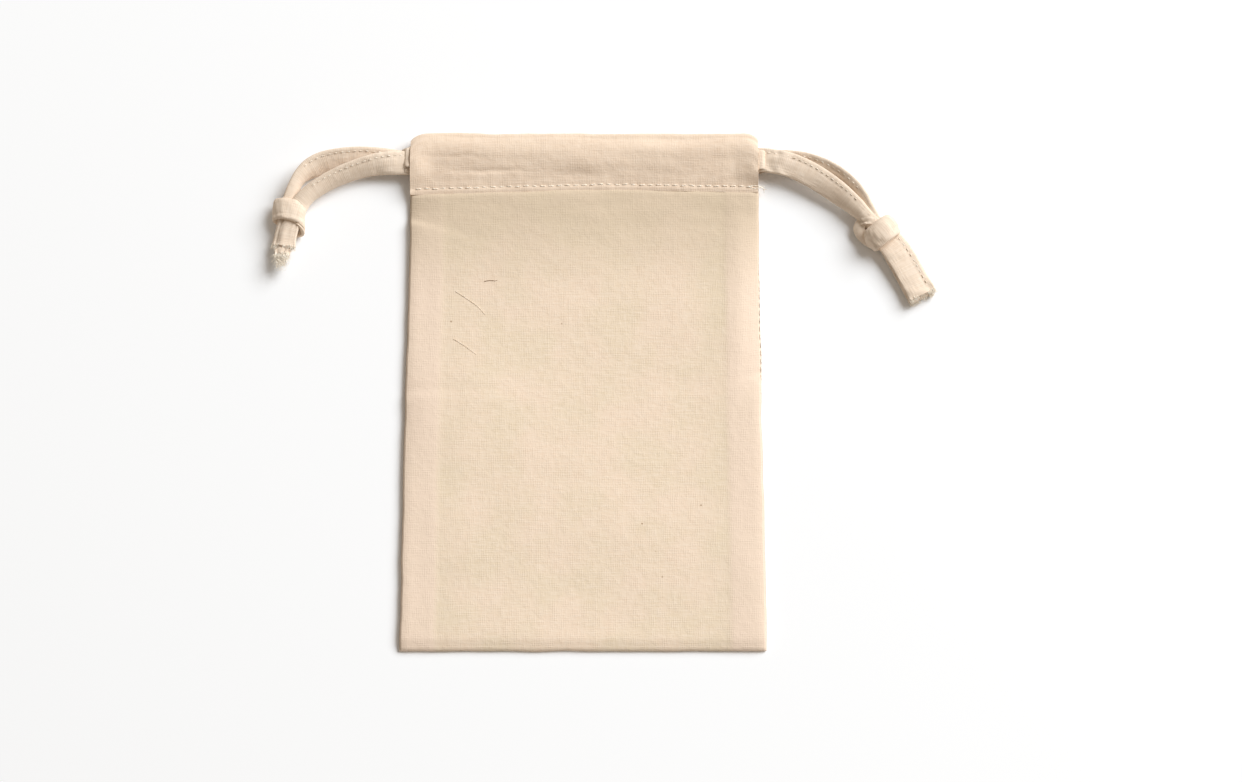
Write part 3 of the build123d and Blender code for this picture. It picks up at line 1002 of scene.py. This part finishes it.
# Of each turn: its knot, its middle's place in it, heading, radius across and up, slant, lean, look.
KNOTS = {
    "left_knot_upper_turn": (
        "left", (-0.2, 0.8, 0.0), LEFT_HEADING, 4.0, 2.4, 0.6, 0.6, look(6.4, 1.4, 0, 14, rough=0.18)),
    "left_knot_middle_turn": (
        "left", (0.2, -1.9, -0.3), LEFT_HEADING, 3.9, 2.3, 1.2, 1.3, look(1.7, 1.1, rough=0.1)),
    "left_knot_lower_turn": (
        "left", (0.4, -2.8, -0.5), LEFT_HEADING, 3.6, 2.1, 1.5, 1.6, look(1.3, 1.0, rough=0.1)),
    "right_knot_upper_turn": (
        "right", (0.9, -0.7, 0.0), RIGHT_HEADING, 3.7, 2.4, -0.4, -0.3, look(6.8, 2.4, 0, 75, rough=0.22)),
    "right_knot_gathered_turn": (
        "right", (-2.5, 2.9, -0.5), RIGHT_HEADING - 0.45, 2.3, 2.1, 0.5, 0.3,
        look(3.8, 1.2, 0, 0, 0.34, 4, 0.4)),
}
knot_turns = {}
for name, (side, offset, heading, wide_radius, high_radius, slant, lean, size) in KNOTS.items():
    middle = knot_middles[side] + Vector(offset)
    frames = knot_turn(middle, heading, wide_radius, high_radius, slant, lean, size)
    knot_turns[name] = swept(name, frames, TAPE_MUSLIN, around=32)

# The right knot's turn shows as a lobe along its lower left side.
LOBE = [  # along the knot's heading, beside it, and height, in mm
    (-4.4, -1.0, 2.9), (-4.6, -3.6, 2.6), (-2.4, -4.7, 2.1),
    (0.4, -4.0, 1.9), (2.8, -2.9, 1.8), (3.2, -1.2, 2.0),
]
LOBE_LOOKS = [(0.0, look(3.4, 1.8, 20, 60, rough=0.2)), (1.0, look(3.0, 1.8, 20, 60))]
ahead, beside = knot_axes(RIGHT_HEADING)
middle = knot_middles["right"]
lobe_places = [middle + ahead * a + beside * b + UP * z - UP * middle.z for a, b, z in LOBE]
lobe_frames = free_frames(evenly(spline_line("lobe", lobe_places)), 1, LOBE_LOOKS)
knot_turns["right_knot_side_turn"] = swept("right_knot_side_turn", lobe_frames, TAPE_MUSLIN)


# %% [markdown]
# ## Stitches
# A lockstitch shows as a row of short threads, each sunk at both ends where the needle went in. One
# small stretched sphere of 30 faces is enough for each, because there are hundreds.

# %% Stitches
def stitch_piece(name, stitches, long=STITCH_LONG, wide=0.36, high=0.30):
    """One piece of separate stitches, each a (place, direction along it, up) in mm."""
    bm = bmesh.new()
    for place, ahead, up in stitches:
        ahead = ahead.normalized()
        beside = up.cross(ahead).normalized()
        up = ahead.cross(beside)
        turn = Matrix((ahead, beside, up)).transposed().to_4x4()
        shape = Matrix.Diagonal((long * MM, wide * MM, high * MM, 1))
        laid = Matrix.Translation(place * MM) @ turn @ shape
        bmesh.ops.create_uvsphere(bm, u_segments=6, v_segments=5, radius=0.5, matrix=laid)
    return finished(name, bm, THREAD)


def in_casing(x, y):
    """Where the face's point at y lies once the rounding of the mouth has squeezed it."""
    return LIP_Y + (y - LIP_Y) * tunnel_squeeze(x)


casing_stitches = {}
BACK_STITCH_Z = 0.26
chance = random.Random(5)
for side, sign in SIDES.items():
    own_xs = [x for x in stitch_xs if sign * x > 0 or (x == 0 and sign > 0)]
    for face_name, outward in (("front", 1), ("back", -1)):
        row = []
        for x in own_xs:
            y = in_casing(x, STITCH_Y + (wander(x) if outward > 0 else 0)) + chance.uniform(-0.12, 0.12)
            z = face_height(x, STITCH_Y) + 0.10 if outward > 0 else BACK_STITCH_Z
            ahead = Vector((1, chance.uniform(-0.16, 0.16), 0))
            row.append((Vector((x, y, z + chance.uniform(-0.10, 0.02))), ahead, UP * outward))
        casing_stitches[side, face_name] = stitch_piece(f"{side}_{face_name}_casing_stitches", row)
print("casing stitches made, the last at x", round(stitch_xs[-1], 1))


# %% [markdown]
# The tapes are sewn too, along the edge where the strip was folded in. Those stitches are shorter,
# and they lie in the dent beside the tape's full edge, so they read the same section as the tube.

# %% Stitches along the tapes' outer edges
TAPE_STITCH_PITCH = 1.7  # mm
DENT_TURN = 0.165  # where round the tape's section the dent is


def tape_stitches(name, frames, first, last):
    """Stitches along a tape's top, between two shares of its length."""
    row = []
    count = len(frames)
    step = round(TAPE_STITCH_PITCH / STEP)
    for i in range(round(first * count), round(last * count), step):
        spots = []
        for k in (i, min(i + 2, count - 1)):
            place, across, above, size = frames[k]
            w, h = tape_section(DENT_TURN, size)
            spots.append(place + across * w + above * (h + 0.02))
        row.append((spots[0].lerp(spots[1], 0.5), spots[1] - spots[0], frames[i][2]))
    return stitch_piece(name, row, long=1.15, wide=0.30, high=0.26)


STITCHED = {
    "left_strand_front": (0.02, 0.62), "left_strand_back": (0.04, 0.55),
    "right_strand_front": (0.02, 0.50), "right_strand_back": (0.04, 0.46),
}
strand_stitches = {}
for strand, (first, last) in STITCHED.items():
    strand_stitches[strand] = tape_stitches(f"{strand}_stitches", strand_frames[strand], first, last)
tail_stitches = tape_stitches("right_tail_stitches", strand_frames["right_strand_front"], 0.70, 0.97)

# %% [markdown]
# ## Loose fibres and threads
# The tapes' ends are cut and have frayed, so warp ends stick out as short curved fibres, and a few
# stray threads lie on the bag. All of these are thin bent lines, which is what a curve with a bevel
# is for: each line is one NURBS spline, and the whole curve is then made a mesh. Real fibres are a
# hundredth of a millimetre thick, so each of these stands for a tuft of them.

# %% Bent lines
def bent_lines(name, paths, thick, material):
    """One mesh of thin round lines through lists of points in mm, tapering to their ends."""
    curve = bpy.data.curves.new(name, "CURVE")
    curve.dimensions = "3D"
    curve.bevel_depth = thick / 2 * MM
    curve.bevel_resolution = 0
    curve.resolution_u = 3
    curve.use_fill_caps = True
    for path in paths:
        spline = curve.splines.new("NURBS")
        spline.points.add(len(path) - 1)
        for k, (point, place) in enumerate(zip(spline.points, path)):
            point.co = (*(x * MM for x in place), 1)
            point.radius = 1.0 - 0.55 * k / (len(path) - 1)
        spline.order_u = 3
        spline.use_endpoint_u = True
    bare = bpy.data.objects.new(name, curve)
    mesh = bpy.data.meshes.new_from_object(bare)
    bpy.data.objects.remove(bare)
    bpy.data.curves.remove(curve)
    mesh.name = name
    mesh.materials.clear()
    mesh.shade_smooth()
    return shown(name, mesh, material)


FRAY_THICK = 0.16  # mm


def end_heading(frames):
    """The direction in which a tape's line ends."""
    return (frames[-1][0] - frames[-4][0]).normalized()


def fray(name, frames, count, longest, spread, seed):
    """Fibres that stick out all round a tape's cut end."""
    draw = random.Random(seed)
    place, across, above, size = frames[-1]
    ahead = end_heading(frames)
    paths = []
    for _ in range(count):
        w, h = tape_section(draw.random(), size)
        shrink = draw.uniform(0.75, 1.0)
        root = place + across * (w * shrink) + above * (h * shrink) - ahead * 0.5
        long = longest * draw.uniform(0.25, 1.0)
        lean = across * draw.uniform(-1, 1) * spread + above * draw.uniform(-0.5, 0.9) * spread
        middle = root + ahead * (0.5 + long * 0.5) + lean * (long * 0.25)
        tip = root + ahead * (0.5 + long * draw.uniform(0.6, 1.0)) + lean * long
        tip.z = max(tip.z, 0.1)
        middle.z = max(middle.z, 0.15)
        paths.append([root, middle, tip])
    return bent_lines(name, paths, FRAY_THICK, FIBRE)


# Of each fray: how many fibres, the longest in mm, how far they spread, and its random seed.
FRAYS = {
    "left_front_fray": (150, 1.7, 0.75, 11), "left_back_fray": (110, 2.2, 0.5, 12),
    "right_front_fray": (150, 1.5, 0.5, 13), "right_back_fray": (110, 1.5, 0.5, 14),
}
frays = {}
for name, (count, longest, spread, seed) in FRAYS.items():
    strand = name.replace("_", "_strand_", 1).removesuffix("_fray")
    frays[name] = fray(name, strand_frames[strand], count, longest, spread, seed)

# The left tail ends in a small ball of fluff.
FLUFF_COUNT = 560
fluff_frames = strand_frames["left_strand_back"]
fluff_end = fluff_frames[-1][0] + end_heading(fluff_frames) * 1.6
draw = random.Random(21)
fluff_paths = []
for _ in range(FLUFF_COUNT):
    root = fluff_end + Vector((draw.gauss(0, 0.9), draw.gauss(0.1, 1.1), draw.uniform(-0.6, 0.9)))
    bends = [root]
    for _ in range(2):
        way = Vector((draw.uniform(-0.7, 0.7), draw.uniform(-0.8, 0.6), draw.uniform(-0.3, 0.4)))
        bends.append(bends[-1] + way)
    fluff_paths.append([Vector((p.x, p.y, max(p.z, 0.12))) for p in bends])
frays["left_tail_fluff"] = bent_lines("left_tail_fluff", fluff_paths, 0.11, FIBRE)

# %% [markdown]
# The stray threads take their height from the cloth that they lie on. The sewing thread itself was
# cut off at the right end of the stitch line, and its ends stand up in a small tuft.

# %% Stray threads on the bag, and the thread's end at the right of the stitch line
LINT_LIFT = 0.11  # mm, so that a thread lies on the cloth and not half in it


def on_bag(points):
    return [Vector((x, y, front_height(x, y) + LINT_LIFT)) for x, y in points]


lint = bent_lines("pale_lint_threads", [
    on_bag([(-36.8, 28.4), (-34.0, 26.6), (-31.5, 24.8), (-29.8, 23.4), (-28.2, 21.4)]),
    on_bag([(-37.2, 14.2), (-34.6, 12.6), (-32.4, 11.0), (-30.6, 9.6)]),
], 0.15, THREAD)
husk_fibre = bent_lines("brown_husk_fibre", [
    on_bag([(-28.6, 31.4), (-27.2, 31.8), (-25.4, 31.5), (-24.8, 31.7)]),
], 0.18, HUSK)
thread_end = bent_lines("casing_thread_end", [
    [(47.2, 59.9, 2.6), (49.0, 60.3, 2.9), (50.8, 59.9, 2.8), (52.2, 59.3, 2.2), (52.9, 59.2, 1.9)],
    [(48.0, 59.5, 2.5), (49.8, 59.2, 2.8), (51.2, 59.5, 2.6), (52.4, 60.2, 2.0)],
    [(50.4, 60.1, 2.7), (51.5, 60.0, 2.5), (52.3, 59.0, 1.8), (52.2, 58.4, 1.5)],
], 0.34, THREAD)

# %% [markdown]
# ## Inside the side seams
# At each side the raw edges of front and back are turned in: two plies, 10 mm wide, held by the
# seam's thread. They hardly show, but they are what makes the pale band along each side.

# %% Turned-in plies and seam stitches
PLY_WIDE = 9.0  # mm
PLY_CELL = 2.0
PLY_LEVELS = {"back": (0.66, 0.3), "front": (0.94, 0.6)}  # height in mm, share of the front's rise
inside_pieces = {side: [] for side in SIDES}
for side, sign in SIDES.items():
    for ply, (level, rise) in PLY_LEVELS.items():
        def lay_allowance(across, along, sign=sign, level=level, rise=rise):
            y = BOTTOM_FOLD_Y + 0.6 + along
            x = body_edge(sign, y) - 0.9 - across
            return sign * x, y, level + (front_height(sign * x, y) - FRONT_Z) * rise
        inside_pieces[side].append(laid_cloth(
            f"{side}_{ply}_turned_in_ply", (PLY_WIDE, panel_long - 3.0), PLY_CELL, lay_allowance,
            BODY_MUSLIN, ((sign * 46, 0, level), (0, 0, 1)),
        ))
    seam = []
    y = BOTTOM_FOLD_Y + 1.5
    while y < LIP_Y - 1:
        x = sign * (body_edge(sign, y) - 0.16)
        seam.append((Vector((x, y, MIDDLE_Z)), Vector((0, 1, 0)), Vector((sign, 0, 0))))
        y += STITCH_PITCH
    inside_pieces[side].append(stitch_piece(f"{side}_seam_stitches", seam, wide=0.26, high=0.22))

# %% [markdown]
# ## What each piece moves with
# On the real bag, pulling the left drawstring draws its loop, which lies round the right end of the
# casing, towards the middle. So the right half of the casing gathers with the left drawstring, and
# the other way round, and below the casing the cloth has to follow at the top and stay put at the
# bottom. Here each tape's held run, strands, knot, frays and tape stitches are fixed to its
# drawstring, the casings, their stitches and the thread's cut end are fixed to the bag, and the body
# halves, the plies inside the seams and the loose threads on the bag keep their places, with their
# placing applied to their meshes.

# %% Fix the pieces to the bag and to the drawstrings
for side, sign in SIDES.items():
    bending = [body_halves[side], *inside_pieces[side]]
    if side == "left":
        bending += [lint, husk_fibre]
    for piece in bending:
        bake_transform(piece)
    gathering = [casing_halves[side, "front"], casing_halves[side, "back"],
                 casing_stitches[side, "front"], casing_stitches[side, "back"]]
    if side == "right":
        gathering.append(thread_end)
    for piece in gathering:
        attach(piece, "bag")
        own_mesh(piece)
    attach(held[side], f"{side}_drawstring")
    for group in (frays, knot_turns, strands, strand_stitches):
        for name, piece in group.items():
            if name.startswith(side):
                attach(piece, f"{side}_drawstring")
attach(tail_stitches, "right_drawstring")

# %% [markdown]
# Each piece stands in for one or more of the frame's plain solids, which are hidden. The body, the
# casings, the turned-in plies and the loose threads on the bag are gathered in one list of muslin pieces.

# %% Hide the frame's solids, and list the muslin pieces
for side in SIDES:
    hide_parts("front_panel", "back_panel", "bottom_fold")
    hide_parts(f"{side}_back_seam_allowance")
    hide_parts(f"{side}_front_seam_allowance")
    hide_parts(f"{side}_seam_thread")
    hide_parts("front_casing", "front_casing_fold", "front_casing_hem")
    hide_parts("back_casing", "back_casing_fold", "back_casing_hem")
    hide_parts("front_casing_stitches")
    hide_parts("back_casing_stitches")
    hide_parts(f"{side}_drawstring_run")
    for way in ("front", "back"):
        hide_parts(f"{side}_strand_{way}")
    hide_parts(f"{side}_knot")

muslin_pieces = [*body_halves.values(), *casing_halves.values(), lint, husk_fibre]
for side in SIDES:
    muslin_pieces += inside_pieces[side][:2]

# %% [markdown]
# ## The pieces that go with each strand
# For each free strand the pieces that go with it are gathered, with its line: its stitches and its
# fray, and for a front strand the turns of its knot and the stitches or the fluff of its tail.

for strand, piece in strands.items():
    side, _, way = strand.partition("_strand_")
    going = [strand_stitches[strand], frays[f"{side}_{way}_fray"]]
    if way == "front":
        going += [turn for name, turn in knot_turns.items() if name.startswith(side)]
        going += [tail_stitches] if side == "right" else [frays["left_tail_fluff"]]
    line = lines[strand]

# %% [markdown]
# ## Floor and light
# The bag lies on a white surface in a bright, soft light from above and from its upper right. A
# large lamp gives soft edges to the shadows, and the bright surroundings fill them.

# %% Floor and light
floor_bm = bmesh.new()
bmesh.ops.create_grid(floor_bm, x_segments=1, y_segments=1, size=2.0)
floor_mesh = bpy.data.meshes.new("floor")
floor_bm.to_mesh(floor_mesh)
floor_bm.free()
white = bpy.data.materials.new("matt_white_paper")
white.use_nodes = True
paper = white.node_tree.nodes["Principled BSDF"].inputs
paper["Base Color"].default_value = linear("#FCFCFC")
paper["Roughness"].default_value = 0.95
paper["Specular IOR Level"].default_value = 0.0
shown("floor", floor_mesh, white)

world = bpy.data.worlds.new("bright_room")
world.use_nodes = True
sky = world.node_tree.nodes["Background"].inputs
sky["Color"].default_value = (1.0, 0.90, 0.78, 1)
sky["Strength"].default_value = 0.29
bpy.context.scene.world = world


window = bpy.data.lights.new("window", "AREA")
window.shape = "RECTANGLE"
window.size, window.size_y = 3.2, 2.8  # m
window.energy = 243  # W
window.color = (1.0, 1.037, 1.08)
window_stand = bpy.data.objects.new("window", window)
window_stand.location = (2.7, 1.95, 2.65)
# A lamp shines along its own -Z, and this turns it to the middle of the bag.
window_stand.rotation_euler = (-window_stand.location).to_track_quat("-Z", "Y").to_euler()
bpy.context.scene.collection.objects.link(window_stand)
bpy.context.scene.view_settings.view_transform = "Standard"
